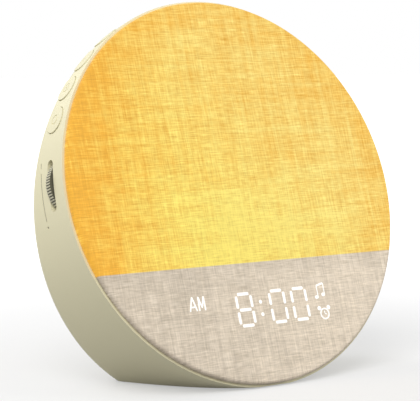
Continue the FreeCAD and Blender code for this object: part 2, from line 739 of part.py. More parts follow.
def socket_form(grow, end):
    """Outside of the socket's shell, with rounded sides."""
    width, length, height = SOCKET_SIZE
    start = socket_start()
    radius = height / 2 + grow
    half = width / 2 - height / 2
    form = box((SOCKET_X - half, start, SOCKET_Z - radius), (SOCKET_X + half, end, SOCKET_Z + radius))
    for side in (-half, half):
        form = form.fuse(rod(radius, start, end, SOCKET_X + side, SOCKET_Z))
    return form


def socket_start():
    return dome_surface(SOCKET_X, SOCKET_Z, 0.0) - SOCKET_SINK - SOCKET_SIZE[1]


def power_socket():
    end = socket_start() + SOCKET_SIZE[1]
    shell = socket_form(0.0, end)
    inner = socket_form(-SOCKET_WALL, end + 1).common(
        box((-FAR, socket_start() + SOCKET_FLOOR, -FAR), (FAR, FAR, FAR))
    )
    half = TONGUE_SIZE[0] / 2
    thick = TONGUE_SIZE[1] / 2
    start = socket_start() + SOCKET_FLOOR / 2
    tongue = box((SOCKET_X - half, start, SOCKET_Z - thick), (SOCKET_X + half, end - 1, SOCKET_Z + thick))
    return shell.cut(inner).fuse(tongue)


def socket_board():
    top = socket_board_top()
    back = min(dome_surface(SOCKET_X + SOCKET_BOARD[0] / 2, SOCKET_Z - 4, COVER_THICKNESS) - FIT_GAP, 0.8)
    half = SOCKET_BOARD[0] / 2
    return box((SOCKET_X - half, back - SOCKET_BOARD[1], top - SOCKET_BOARD[2]), (SOCKET_X + half, back, top))


def screw(x, z, head_top, direction, radius, head_radius, head, length):
    """A pan-head screw along depth; direction 1 drives it backwards, -1 forwards."""
    seat = head_top + direction * head
    tip = seat + direction * length
    body = rod(head_radius, min(head_top, seat), max(head_top, seat), x, z)
    body = body.fuse(rod(radius, min(seat, tip), max(seat, tip), x, z))
    recess = rod(head_radius * 0.45, min(head_top, head_top + direction * head / 2),
                 max(head_top, head_top + direction * head / 2), x, z)
    return body.cut(recess)


def cover_screws():
    screws = []
    for x, z in screw_places():
        top = dome_surface(x, z, 0.0) - FIT_GAP / 3
        screws.append(screw(x, z, top, -1, SCREW_RADIUS, SCREW_HEAD_RADIUS, SCREW_HEAD - FIT_GAP / 3, SCREW_LENGTH))
    return Part.makeCompound(screws)


def board_screws():
    screws = []
    for x, z in board_corners():
        top = BOARD_FRONT - SMALL_HEAD
        screws.append(screw(x, z, top, 1, SMALL_SCREW_RADIUS, SMALL_HEAD_RADIUS, SMALL_HEAD, SMALL_SCREW_LENGTH))
    return Part.makeCompound(screws)


def speaker_screws():
    screws = []
    for x, z in speaker_screw_places():
        top = -SPEAKER_FLANGE - SMALL_HEAD
        screws.append(screw(x, z, top, 1, SMALL_SCREW_RADIUS, SPEAKER_HEAD_RADIUS, SMALL_HEAD, SPEAKER_SCREW_LENGTH))
    return seated(Part.makeCompound(screws))


def main_board():
    board = box((BOARD_LEFT, BOARD_FRONT, BOARD_BOTTOM), (BOARD_RIGHT, BOARD_BACK, BOARD_TOP))
    for x, z in board_corners():
        board = board.cut(rod(SMALL_SCREW_RADIUS + FIT_GAP / 2, BOARD_FRONT - 1, BOARD_BACK + 1, x, z))
    return board


def board_chips():
    """Bare electronic parts on the main board: width, height, length and place of each."""
    parts = (
        (9.0, 1.4, 9.0, 13.0, 20.0),
        (6.0, 1.2, 5.0, 14.0, 4.0),
        (4.0, 1.2, 5.0, 24.0, 8.0),
        (12.0, 3.4, 4.0, -4.0, -6.5),
    )
    chips = []
    for width, height, length, x, z in parts:
        low = (x - width / 2, BOARD_BACK, z - length / 2)
        chips.append(box(low, (x + width / 2, BOARD_BACK + height, z + length / 2)))
    for x in CAPACITOR_PLACES:
        chips.append(rod(CAPACITOR_RADIUS, BOARD_BACK, BOARD_BACK + CAPACITOR_HEIGHT, x, CAPACITOR_Z))
    return Part.makeCompound(chips)


def coin_cell():
    start = BOARD_BACK + HOLDER_FLOOR
    return rod(CELL_RADIUS, start, start + CELL_THICKNESS, CELL_X, CELL_Z)


def coin_cell_holder():
    half = HOLDER_SIZE / 2
    top = BOARD_BACK + HOLDER_FLOOR + CELL_THICKNESS * 0.8
    holder = box((CELL_X - half, BOARD_BACK, CELL_Z - half), (CELL_X + half, top, CELL_Z + half))
    return holder.cut(rod(CELL_RADIUS + FIT_GAP / 3, BOARD_BACK + HOLDER_FLOOR, top + 1, CELL_X, CELL_Z))


def seated(shape):
    """Move a speaker piece, drawn with its flange's face at 0, to its seat in the rear cover."""
    return shape.translated(Vector(0, SPEAKER_SEAT, 0))


def speaker_basket():
    back = -SPEAKER_FLANGE - SPEAKER_BASKET_DEPTH
    wide = SPEAKER_CONE_RADIUS + SPEAKER_SURROUND
    inner = wide - BASKET_WALL
    basket = rod(SPEAKER_RADIUS, -SPEAKER_FLANGE, 0, 0, SPEAKER_Z)
    basket = basket.fuse(cone(SPEAKER_BACK_RADIUS, wide, back, -SPEAKER_FLANGE, 0, SPEAKER_Z))
    floor = back + BASKET_WALL
    hollow = cone(SPEAKER_BACK_RADIUS - BASKET_WALL, inner, floor, -SPEAKER_FLANGE, 0, SPEAKER_Z)
    hollow = hollow.fuse(rod(inner, -SPEAKER_FLANGE, 1, 0, SPEAKER_Z))
    basket = basket.cut(hollow)
    for x, z in speaker_screw_places():
        basket = basket.cut(rod(SMALL_SCREW_RADIUS + FIT_GAP / 3, -SPEAKER_FLANGE - 2, 1, x, z))
    return seated(basket)


def speaker_magnet():
    end = -SPEAKER_FLANGE - SPEAKER_BASKET_DEPTH
    return seated(rod(MAGNET_RADIUS, end - MAGNET_THICKNESS, end, 0, SPEAKER_Z))


def speaker_cone():
    front = -SPEAKER_FLANGE / 2
    coil_end = -SPEAKER_FLANGE - SPEAKER_BASKET_DEPTH + BASKET_WALL + SEAT_GAP
    back = coil_end + COIL_LENGTH
    coil_inner = COIL_RADIUS - PAPER
    shell = cone(COIL_RADIUS, SPEAKER_CONE_RADIUS, back, front, 0, SPEAKER_Z)
    shell = shell.cut(cone(coil_inner, SPEAKER_CONE_RADIUS - PAPER, back + PAPER, front + PAPER / 4, 0, SPEAKER_Z))
    coil = ring(COIL_RADIUS, coil_inner, coil_end, back + PAPER / 2, 0, SPEAKER_Z)
    return seated(shell.fuse(coil))


def speaker_surround():
    wide = SPEAKER_CONE_RADIUS + SPEAKER_SURROUND - BASKET_WALL - SEAT_GAP
    return seated(ring(wide, SPEAKER_CONE_RADIUS, -SPEAKER_FLANGE, -SPEAKER_FLANGE / 2, 0, SPEAKER_Z))


def display_ribbon():
    """Flat lead from the back of the display board, under the shelf and up to the main board."""
    left = RIBBON_X - RIBBON_WIDTH / 2
    right = RIBBON_X + RIBBON_WIDTH / 2
    start = BLOCK_BACK + DISPLAY_BOARD_THICKNESS
    bend = start + RIBBON_REACH
    level = LIT_CHORD - TRAY_WALL - RIBBON_REACH
    low = level - 3 * RIBBON_REACH
    lean = math.radians(WEDGE)
    foot_z = (level - math.sin(lean) * BOARD_FRONT) / math.cos(lean)
    foot = REAR_IN_FACE.multVec(Vector(0, BOARD_FRONT, foot_z))
    lead = box((left, start, low), (right, bend, low + RIBBON_THICKNESS))
    lead = lead.fuse(box((left, bend - RIBBON_THICKNESS, low), (right, bend, level)))
    lead = lead.fuse(box((left, bend - RIBBON_THICKNESS, level - RIBBON_THICKNESS), (right, foot.y, level)))
    rise = box((left, BOARD_FRONT - RIBBON_THICKNESS, foot_z - RIBBON_THICKNESS),
               (right, BOARD_FRONT, BOARD_BOTTOM + BOARD_SCREW_INSET / 2))
    return lead.fuse(rear(rise))


def foot_pad():
    return pad_form(PAD_GAP, 0.0, PAD_HEIGHT)


def save(name, shape):
    """Stand a shape of the face frame upright and write it as one file."""
    placed = shape.copy()
    placed.Placement = FACE.multiply(placed.Placement)
    solids = placed.Solids
    result = solids[0] if len(solids) == 1 else Part.makeCompound(solids)
    print(name, len(solids), round(sum(solid.Volume for solid in solids), 1), result.isValid())
    result.exportStep("parts/" + name + ".step")


os.makedirs("parts", exist_ok=True)

FACE_PIECES = {
    "drum_shell": drum_shell,
    "linen_cover": linen_cover,
    "front_diffuser": front_diffuser,
    "light_tray": light_tray,
    "light_board": light_board,
    "light_leds": light_leds,
    "display_block": display_block,
    "display_segments": display_segments,
    "display_board": display_board,
    "display_ribbon": display_ribbon,
    "button_board": button_board,
    "tact_switches": tact_switches,
    "volume_wheel": volume_wheel,
    "wheel_axle": wheel_axle,
    "wheel_bracket": wheel_bracket,
    "wheel_encoder": wheel_encoder,
    "foot_pad": foot_pad,
}

REAR_PIECES = {
    "rear_cover": rear_cover,
    "cover_screws": cover_screws,
    "main_board": main_board,
    "board_chips": board_chips,
    "board_screws": board_screws,
    "coin_cell": coin_cell,
    "coin_cell_holder": coin_cell_holder,
    "speaker_basket": speaker_basket,
    "speaker_magnet": speaker_magnet,
    "speaker_cone": speaker_cone,
    "speaker_surround": speaker_surround,
    "speaker_screws": speaker_screws,
    "power_socket": power_socket,
    "socket_board": socket_board,
}

for name, make in FACE_PIECES.items():
    save(name, make())
for name, make in REAR_PIECES.items():
    save(name, rear(make()))
for index, name in enumerate(BUTTON_NAMES):
    save(name, side_button(index))
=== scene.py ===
import json
import math

import bpy
from mathutils import Matrix, Vector


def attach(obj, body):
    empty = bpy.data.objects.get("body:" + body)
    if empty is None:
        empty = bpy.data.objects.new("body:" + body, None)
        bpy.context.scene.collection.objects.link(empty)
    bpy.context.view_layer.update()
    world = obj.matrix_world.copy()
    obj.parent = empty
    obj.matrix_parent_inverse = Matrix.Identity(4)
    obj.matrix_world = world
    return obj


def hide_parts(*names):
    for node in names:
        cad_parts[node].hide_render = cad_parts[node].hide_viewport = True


# The looks of a sunrise alarm clock: a slanted cream drum with a linen front that glows in its upper part.
# Metres, +X to the viewer's right, +Y to the back, +Z up.
# Places on the front are (across, up) from the middle of the linen, and depth goes into the drum.

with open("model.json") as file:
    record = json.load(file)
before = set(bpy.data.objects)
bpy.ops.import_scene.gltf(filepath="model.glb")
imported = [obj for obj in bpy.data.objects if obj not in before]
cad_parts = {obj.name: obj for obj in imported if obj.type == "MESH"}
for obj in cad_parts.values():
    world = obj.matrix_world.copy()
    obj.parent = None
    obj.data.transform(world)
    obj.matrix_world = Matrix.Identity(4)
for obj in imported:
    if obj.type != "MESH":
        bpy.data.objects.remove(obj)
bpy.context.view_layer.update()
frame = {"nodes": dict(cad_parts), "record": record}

MM = 0.001
DRUM_RADIUS = 86 * MM
FACE_TILT = math.radians(18.47)
FACE_Y = -9 * MM
LIP_DEPTH = 2.7 * MM
FRONT_LIFT = 0.1 * MM
FACE_HEIGHT = DRUM_RADIUS * math.cos(FACE_TILT) + LIP_DEPTH * math.sin(FACE_TILT) + FRONT_LIFT
FACE = Matrix.Translation((0, FACE_Y, FACE_HEIGHT)) @ Matrix.Rotation(-FACE_TILT, 4, "X")

LINEN_RADIUS = 85 * MM
LINEN_THICKNESS = 0.8 * MM
LINEN_EDGE = 1.5 * MM
LINEN_DEPTH = 2.5 * MM
LIT_CHORD = -32.7 * MM
GLOW_LIFT = 0.04 * MM
GLOW_THICKNESS = 0.05 * MM

WHEEL_RADIUS = 13 * MM
WHEEL_PROUD = 1.6 * MM
WHEEL_ANGLE = math.radians(84.3)

CAMERA_FROM_FACE = Vector((-437.70, -577.30, 57.40)) * MM
TARGET_FROM_FACE = Vector((-10.41, 7.39, -5.25)) * MM
LENS = 144.39

FLOOR_SIZE = 8.0
FLOOR_SEEN = 0.42
FLOOR_BOUNCE = 0.34
FLOOR_LIFT = 0.43
FAR_FLOOR_LIFT = 0.60
FLOOR_FADE = (0.10, 0.75)
WORLD_LIGHT = 0.57


def add_camera():
    """The photograph's view, from the front left and a little above."""
    centre = Vector((0, FACE_Y, FACE_HEIGHT))
    data = bpy.data.cameras.new("camera")
    data.lens = LENS
    data.clip_start = 0.01
    data.clip_end = 50
    camera = bpy.data.objects.new("camera", data)
    camera.location = centre + CAMERA_FROM_FACE
    aim = centre + TARGET_FROM_FACE - camera.location
    camera.rotation_euler = aim.to_track_quat("-Z", "Y").to_euler()
    bpy.context.scene.collection.objects.link(camera)
    bpy.context.scene.camera = camera


class Look:
    """A node material with short helpers for its procedural parts."""

    def __init__(self, name, color, roughness, metallic=0.0, specular=0.5):
        self.material = bpy.data.materials.new(name)
        self.material.use_nodes = True
        self.nodes = self.material.node_tree.nodes
        self.links = self.material.node_tree.links
        self.shader = self.nodes["Principled BSDF"]
        self.shader.inputs["Base Color"].default_value = (*color, 1)
        self.shader.inputs["Roughness"].default_value = roughness
        self.shader.inputs["Metallic"].default_value = metallic
        self.shader.inputs["Specular IOR Level"].default_value = specular

    def put(self, source, target):
        """Feed a socket from another socket, or set it to a plain value."""
        if isinstance(source, bpy.types.NodeSocket):
            self.links.new(source, target)
        else:
            target.default_value = source

    def math(self, operation, a, b=0.0, c=0.0, clamp=False):
        node = self.nodes.new("ShaderNodeMath")
        node.operation = operation
        node.use_clamp = clamp
        for value, socket in zip((a, b, c), node.inputs):
            self.put(value, socket)
        return node.outputs[0]

    def squares(self, a, b):
        """a squared plus b squared."""
        return self.math("MULTIPLY_ADD", a, a, self.math("MULTIPLY", b, b))

    def smooth(self, value, low, high):
        """0 below low, 1 above high, and a soft step between."""
        node = self.nodes.new("ShaderNodeMapRange")
        node.interpolation_type = "SMOOTHSTEP"
        self.put(value, node.inputs["Value"])
        node.inputs["From Min"].default_value = low
        node.inputs["From Max"].default_value = high
        return node.outputs["Result"]

    def mix(self, factor, a, b):
        node = self.nodes.new("ShaderNodeMix")
        node.data_type = "RGBA"
        for value, socket in ((factor, node.inputs[0]), (a, node.inputs[6]), (b, node.inputs[7])):
            value = (*value, 1) if isinstance(value, tuple) and len(value) == 3 else value
            self.put(value, socket)
        return node.outputs[2]

    def scaled(self, color, factor):
        """A colour times a number."""
        node = self.nodes.new("ShaderNodeVectorMath")
        node.operation = "SCALE"
        self.put(color, node.inputs[0])
        self.put(factor, node.inputs["Scale"])
        return node.outputs[0]

    def place(self, stretch=(1, 1, 1), on_face=False):
        """Object coordinates in metres, stretched; on the face they are (across, depth, up)."""
        source = self.nodes.new("ShaderNodeTexCoord").outputs["Object"]
        if on_face:
            turn = self.nodes.new("ShaderNodeMapping")
            back = FACE.inverted()
            turn.inputs["Location"].default_value = back.translation
            turn.inputs["Rotation"].default_value = back.to_euler()
            self.links.new(source, turn.inputs["Vector"])
            source = turn.outputs["Vector"]
        node = self.nodes.new("ShaderNodeMapping")
        node.inputs["Scale"].default_value = stretch
        self.links.new(source, node.inputs["Vector"])
        return node.outputs["Vector"]

    def noise(self, scale, detail=2.0, stretch=(1, 1, 1), on_face=False, roughness=0.5):
        node = self.nodes.new("ShaderNodeTexNoise")
        node.inputs["Scale"].default_value = scale
        node.inputs["Detail"].default_value = detail
        node.inputs["Roughness"].default_value = roughness
        self.links.new(self.place(stretch, on_face), node.inputs["Vector"])
        return node.outputs["Fac"]

    def bump(self, height, distance, strength=1.0):
        node = self.nodes.new("ShaderNodeBump")
        node.inputs["Distance"].default_value = distance
        node.inputs["Strength"].default_value = strength
        self.put(height, node.inputs["Height"])
        self.links.new(node.outputs["Normal"], self.shader.inputs["Normal"])

    def color(self, source):
        self.put(source, self.shader.inputs["Base Color"])


def shaded(color, factor):
    return tuple(channel * factor for channel in color)


def plain_look(
    name, color, roughness, metallic=0.0, grain=900.0, spread=0.06, relief=0.03 * MM, stretch=(1, 1, 1)
):
    """Moulded, coated or rolled stock: a mottled colour, uneven gloss and a fine relief."""
    look = Look(name, color, roughness, metallic)
    cloud = look.noise(grain / 12, 3.0, stretch)
    fine = look.noise(grain, 2.0, stretch)
    look.color(look.mix(cloud, shaded(color, 1 - spread), shaded(color, 1 + spread)))
    gloss = look.math("MULTIPLY_ADD", fine, 0.16, roughness - 0.08)
    look.put(gloss, look.shader.inputs["Roughness"])
    look.bump(fine, relief)
    return look


def cream_plastic(name, color, roughness):
    """Fine spark-eroded matte plastic, a little darker in the hollows of its fine relief, which is painted
    shade.
    """
    look = Look(name, color, roughness, specular=0.35)
    tone = look.noise(14.0, 2.0)
    speck = look.noise(2600.0, 3.0)
    warm = look.mix(tone, shaded(color, 0.985), shaded(color, 1.012))
    # Painted shade: where the fine relief is low, the colour is a little darker.
    look.color(look.mix(look.smooth(speck, 0.35, 0.7), shaded(color, 0.975), warm))
    look.put(look.math("MULTIPLY_ADD", speck, 0.14, roughness - 0.07), look.shader.inputs["Roughness"])
    look.bump(speck, 0.02 * MM, 0.6)
    return look


# Noise of scale 1 is stretched by cells per metre, as (across, depth, up) on the face.
WEAVE_DEPTH = 95


def crossed(look, along, across, shares, detail=1.0, roughness=0.5):
    """Noise drawn out level and upright, and added up by its two shares."""
    level = look.noise(1.0, detail, (along, WEAVE_DEPTH, across), True, roughness)
    upright = look.noise(1.0, detail, (across, WEAVE_DEPTH, along), True, roughness)
    return look.math("MULTIPLY_ADD", level, shares[0], look.math("MULTIPLY", upright, shares[1]))


def threads(look):
    """Single threads of the weave, running both ways, about 0.5."""
    short = crossed(look, 190, 2100, (0.36, 0.24))
    long = crossed(look, 50, 1150, (0.20, 0.20))
    return look.math("ADD", short, long)


def streaks(look):
    """Bundles of thicker and thinner threads, about 0.5."""
    pair = crossed(look, 16, 330, (0.36, 0.36), 3.0, 0.6)
    patch = look.noise(1.0, 2.0, (70, WEAVE_DEPTH, 110), True)
    return look.math("MULTIPLY_ADD", patch, 0.28, pair)


def swing(look, value, amount, middle=1.0):
    """A value that wavers about 0.5, made to waver about another middle by some amount."""
    return look.math("MULTIPLY_ADD", value, amount, middle - amount / 2)


def face_split(look):
    """Across and up on the face, in metres."""
    node = look.nodes.new("ShaderNodeSeparateXYZ")
    look.links.new(look.place(on_face=True), node.inputs[0])
    return node.outputs["X"], node.outputs["Z"]


LEFT_FADE = (-100 * MM, -20 * MM)
LEFT_SHARE = 0.60
POOL_HEIGHT = -24 * MM
POOL_REACH = (56 * MM, 28 * MM)
POOL_SHARE = 0.44
RIM_FADE = (62 * MM, 86 * MM)
RIM_SHARE = 0.22
CLOUD_SCALE = 34.0
CLOUD_SHARE = 0.30


def glow_level(look, x, up):
    """How far the light has gone from amber to straw: about 0 at the left rim, 1 in the pool low down."""
    from_left = look.math("MULTIPLY", look.smooth(x, *LEFT_FADE), LEFT_SHARE)
    dx = look.math("DIVIDE", x, POOL_REACH[0])
    dz = look.math("DIVIDE", look.math("SUBTRACT", up, POOL_HEIGHT), POOL_REACH[1])
    fall = look.math("EXPONENT", look.math("MULTIPLY", look.squares(dx, dz), -1.0))
    pool = look.math("MULTIPLY", fall, POOL_SHARE)
    radius = look.math("SQRT", look.squares(x, up))
    rim = look.math("MULTIPLY", look.smooth(radius, *RIM_FADE), -RIM_SHARE)
    cloud = swing(look, look.noise(CLOUD_SCALE, 3.0, (1, 1, 1), True), CLOUD_SHARE, 0.0)
    return look.math("ADD", look.math("ADD", from_left, pool), look.math("ADD", rim, cloud))


LINEN = (0.715, 0.622, 0.505)
DARK_THREAD = (0.715, 0.608, 0.470)
AMBER = (0.700, 0.350, 0.023)
STRAW_LOW = (0.735, 0.650, 0.135)
STRAW_HIGH = (0.735, 0.640, 0.200)
LIT_BASE = (0.20, 0.115, 0.030)
CHORD_BLUR = 0.25 * MM
SHELF_SHADE = 9 * MM
# Painted shade on the plain linen, darker towards the left across this span.
LEFT_SHADE_FADE = (-60 * MM, 60 * MM)
CORNER_FADE = (-60 * MM, 90 * MM)


def unlit_color(look, x, up, fine, broad):
    """Plain linen, with painted shade just under the lit field and to the left."""
    # Painted shade: the linen is a little darker just under the lit field and towards the left.
    near_field = look.smooth(up, LIT_CHORD - SHELF_SHADE, LIT_CHORD)
    shelf_shade = look.math("MULTIPLY_ADD", near_field, -0.07, 1.0)
    side = look.math("MULTIPLY_ADD", look.smooth(x, *LEFT_SHADE_FADE), 0.12, 0.92)
    plain = look.mix(look.smooth(fine, 0.35, 0.65), DARK_THREAD, LINEN)
    plain = look.scaled(plain, look.math("MULTIPLY", shelf_shade, side))
    shade = look.math("MULTIPLY", swing(look, fine, 1.6), swing(look, broad, 0.9))
    return look.scaled(plain, shade)


def glow_color(look, x, up, fine, broad):
    """The lit field's light, from amber to straw, broken up by the threads."""
    level = look.math("ADD", glow_level(look, x, up), swing(look, fine, 2.0, 0.0))
    level = look.math("ADD", level, swing(look, broad, 2.2, 0.0), clamp=True)
    corner = look.smooth(look.math("ADD", x, up), *CORNER_FADE)
    glow = look.mix(level, AMBER, look.mix(corner, STRAW_LOW, STRAW_HIGH))
    return look.scaled(glow, look.math("MULTIPLY", swing(look, fine, 1.5), swing(look, broad, 0.2)))


def linen_look():
    """Woven linen that glows above the lit chord and lies in plain light below it."""
    look = Look("linen_front", LINEN, 0.85, specular=0.2)
    fine = threads(look)
    broad = streaks(look)
    x, up = face_split(look)
    lit = look.smooth(up, LIT_CHORD - CHORD_BLUR, LIT_CHORD + CHORD_BLUR)
    look.color(look.mix(lit, unlit_color(look, x, up, fine, broad), LIT_BASE))
    glow = glow_color(look, x, up, fine, broad)
    look.put(look.scaled(glow, lit), look.shader.inputs["Emission Color"])
    look.shader.inputs["Emission Strength"].default_value = 1.0
    look.shader.inputs["Sheen Weight"].default_value = 0.12
    look.bump(fine, 0.28 * MM, 0.8)
    return look


def lit_look():
    """White light that shows through the weave."""
    look = Look("display_light", (0.8, 0.8, 0.78), 0.8, specular=0.1)
    weave = look.smooth(threads(look), 0.38, 0.56)
    look.put(look.mix(weave, (0.78, 0.74, 0.66), (1.0, 0.98, 0.92)), look.shader.inputs["Emission Color"])
    look.shader.inputs["Emission Strength"].default_value = 0.34
    return look


def milky_look():
    look = plain_look("milky", (0.86, 0.85, 0.81), 0.5, grain=500.0, spread=0.03)
    look.shader.inputs["Subsurface Weight"].default_value = 0.15
    return look


SOLDER_MASK = (0.02, 0.17, 0.07)
MASK_PATCH = (0.03, 0.21, 0.09)
TRACK = (0.06, 0.32, 0.14)
TRACK_SCALE = 420


def board_look():
    """Solder mask with a faint grid of tracks."""
    look = Look("board", SOLDER_MASK, 0.35)
    grid = look.nodes.new("ShaderNodeTexBrick")
    grid.inputs["Scale"].default_value = 1.0
    for socket, color in (("Color1", SOLDER_MASK), ("Color2", MASK_PATCH), ("Mortar", TRACK)):
        grid.inputs[socket].default_value = (*color, 1)
    grid.inputs["Mortar Size"].default_value = 0.04
    look.links.new(look.place((TRACK_SCALE, TRACK_SCALE, TRACK_SCALE)), grid.inputs["Vector"])
    look.color(grid.outputs["Color"])
    look.bump(grid.outputs["Fac"], 0.03 * MM)
    return look


RIB_CREST = (0.60, 0.57, 0.42)
# Painted shade: the colour of the wheel inward of its crests, in its grooves and slot.
GROOVE_SHADE = (0.10, 0.096, 0.065)
CREST_FADE = (WHEEL_RADIUS - 0.33 * MM, WHEEL_RADIUS - 0.05 * MM)


def wheel_look():
    """Ribbed plastic, with painted shade in the grooves between its ribs."""
    look = cream_plastic("wheel_plastic", RIB_CREST, 0.5)
    x, up = face_split(look)
    reach = DRUM_RADIUS + WHEEL_PROUD - WHEEL_RADIUS
    dx = look.math("ADD", x, reach * math.sin(WHEEL_ANGLE))
    dz = look.math("SUBTRACT", up, reach * math.cos(WHEEL_ANGLE))
    # Painted shade: only a thin band at the wheel's outer crests keeps the crest colour.
    unshaded_crest = look.smooth(look.math("SQRT", look.squares(dx, dz)), *CREST_FADE)
    speck = swing(look, look.noise(2600.0, 3.0), 0.2)
    look.color(look.scaled(look.mix(unshaded_crest, GROOVE_SHADE, RIB_CREST), speck))
    return look


def ribbon_look():
    """A flat lead, with a grain that is drawn out over its depth and height."""
    drawn_out = (1, 0.02, 0.02)
    return plain_look("flat_lead", (0.55, 0.52, 0.44), 0.35, grain=2500.0, spread=0.15, stretch=drawn_out)


def speaker_paper():
    return plain_look("speaker_paper", (0.035, 0.035, 0.036), 0.8, grain=1800.0, spread=0.3, relief=0.1 * MM)


CREAM = (0.800, 0.748, 0.513)


def make_looks():
    """One look for each material slot of the CAD, and one for the marks' paint."""
    return {
        "shell": cream_plastic("cream_plastic", CREAM, 0.52),
        "linen": plain_look("linen_backing", LINEN, 0.9, grain=1500.0, relief=0.1 * MM),
        "milky": milky_look(),
        "reflector": plain_look("white_reflector", (0.88, 0.88, 0.86), 0.35, grain=400.0, spread=0.02),
        "board": board_look(),
        "led": plain_look("led_phosphor", (0.90, 0.72, 0.22), 0.4, grain=3000.0, spread=0.08),
        "dark_plastic": plain_look("dark_plastic", (0.035, 0.035, 0.038), 0.55, spread=0.2),
        "lit": plain_look("light_guide", (0.85, 0.85, 0.82), 0.3, spread=0.03),
        "ribbon": ribbon_look(),
        "steel": plain_look("steel", (0.52, 0.51, 0.49), 0.32, 1.0, grain=2600.0, spread=0.12),
        "mark": plain_look("mark_paint", (0.22, 0.21, 0.16), 0.6),
        "wheel": wheel_look(),
        "rubber": plain_look("rubber", (0.10, 0.097, 0.09), 0.8, spread=0.15, relief=0.08 * MM),
        "magnet": plain_look("ferrite", (0.05, 0.05, 0.055), 0.6, spread=0.3, relief=0.1 * MM),
        "paper_cone": speaker_paper(),
        "cell": plain_look("bright_steel", (0.66, 0.66, 0.65), 0.22, 1.0, grain=1800.0, spread=0.06),
        "tin": plain_look("tinned_metal", (0.60, 0.60, 0.57), 0.38, 1.0, grain=1500.0, spread=0.10),
    }


def dress_frame(looks):
    """Give each CAD node the look of its material slot."""
    slots = {part["node"]: part["material_slot"] for part in frame["record"]["subparts"]}
    for name, node in frame["nodes"].items():
        for slot in node.material_slots:
            slot.material = looks[slots[name]].material


def new_object(name, verts, faces, look, body, smooth=True):
    """A piece from points in the row frame, dressed and riding on a body."""
    mesh = bpy.data.meshes.new(name)
    mesh.from_pydata([tuple(v) for v in verts], [], faces)
    mesh.update()
    mesh.materials.append(look.material)
    if smooth:
        mesh.shade_smooth()
    piece = bpy.data.objects.new(name, mesh)
    bpy.context.scene.collection.objects.link(piece)
    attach(piece, body)
    return piece


def revolve(profile, sides):
    """Closed skin of a profile of (radius, depth) points turned about the drum's axis.

    A radius of 0 is a pole.
    """
    verts = []
    rows = []
    for radius, depth in profile:
        if radius == 0:
            rows.append([len(verts)] * sides)
            verts.append(FACE @ Vector((0, depth, 0)))
            continue
        rows.append(list(range(len(verts), len(verts) + sides)))
        for step in range(sides):
            turn = 2 * math.pi * step / sides
            verts.append(FACE @ Vector((radius * math.sin(turn), depth, radius * math.cos(turn))))
    faces = []
    for row, after in zip(rows, rows[1:]):
        for step in range(sides):
            around = (step + 1) % sides
            face = [row[step], row[around], after[around], after[step]]
            faces.append(list(dict.fromkeys(face)))
    return verts, [face for face in faces if len(face) > 2]


def rolled_edge(flat, front, radius, turns):
    """Points of a quarter round, from a flat's rim at one depth round to its side."""
    for turn in turns:
        yield flat + radius * math.sin(turn), front + radius * (1 - math.cos(turn))


def linen_profile(flat):
    """Section of the linen, out along its front, round its edge and back along its inside."""
    rings = 40
    inner_rings = 4
    arc_steps = 8
    turns = [math.pi / 2 * step / arc_steps for step in range(arc_steps + 1)]
    profile = [(flat * step / rings, 0.0) for step in range(rings + 1)]
    profile += rolled_edge(flat, 0.0, LINEN_EDGE, turns[1:])
    profile += [(LINEN_RADIUS, LINEN_DEPTH), (LINEN_RADIUS - LINEN_THICKNESS, LINEN_DEPTH)]
    profile += rolled_edge(flat, LINEN_THICKNESS, LINEN_EDGE - LINEN_THICKNESS, turns[::-1])
    profile += [(flat * step / inner_rings, LINEN_THICKNESS) for step in range(inner_rings - 1, -1, -1)]
    return profile


def linen_front(look):
    """The linen: a disc drawn tight, with its edge rolled over the disc that carries it."""
    flat = LINEN_RADIUS - LINEN_EDGE
    verts, faces = revolve(linen_profile(flat), 256)
    piece = new_object("linen_front", verts, faces, look, "housing")
    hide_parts("linen_cover")


class Shapes:
    """Flat lit shapes just over the linen, collected into one mesh."""

    def __init__(self):
        self.verts = []
        self.faces = []

    def plate(self, outline):
        """A thin plate from an outline of (across, up) points that runs round once, clockwise or not."""
        first = len(self.verts)
        count = len(outline)
        for depth in (-GLOW_LIFT - GLOW_THICKNESS, -GLOW_LIFT):
            for x, up in outline:
                self.verts.append(FACE @ Vector((x, depth, up)))
        area = sum(a[0] * b[1] - b[0] * a[1] for a, b in zip(outline, outline[1:] + outline[:1]))
        front = list(range(first, first + count))
        back = list(range(first + count, first + 2 * count))
        faces = [front, back[::-1]]
        for i in range(count):
            after = (i + 1) % count
            faces.append([front[i], back[i], back[after], front[after]])
        self.faces += faces if area > 0 else [face[::-1] for face in faces]

    def stroke(self, a, b, width):
        """A bar with cut corners from point a to point b."""
        start, end = Vector(a), Vector(b)
        along = (end - start).normalized()
        side = Vector((-along.y, along.x)) * width / 2
        nib = along * width * 0.3
        narrow = side * 0.55
        lower = [start - narrow, start + nib - side, end - nib - side, end - narrow]
        upper = [end + narrow, end - nib + side, start + nib + side, start + narrow]
        self.plate(lower + upper)

    def disc(self, centre, radius, squash=1.0, sides=20):
        """A round plate, flattened where squash is under 1."""
        turns = [2 * math.pi * i / sides for i in range(sides)]
        reach = Vector((radius, radius * squash))
        self.plate([Vector(centre) + reach * Vector((math.cos(turn), math.sin(turn))) for turn in turns])

    def ring(self, centre, radius, width, sides=24):
        """A round line of some width, made of short plates."""
        inner = radius - width / 2
        outer = radius + width / 2
        for i in range(sides):
            a, b = (2 * math.pi * (i + k) / sides for k in (0, 1))
            corners = ((a, inner), (b, inner), (b, outer), (a, outer))
            self.plate([Vector(centre) + Vector((math.cos(turn), math.sin(turn))) * r for turn, r in corners])


DIGIT_HEIGHT = 15.0 * MM
DIGIT_WIDTH = 9.1 * MM
DIGIT_STROKE = 1.4 * MM
DIGIT_GAP = 0.8 * MM
DIGIT_LEFTS = (-13.9 * MM, 3.8 * MM, 15.8 * MM)
DIGIT_MIDDLE = LIT_CHORD - 20.0 * MM
COLON_X = -0.8 * MM
COLON_SPAN = 5.4 * MM


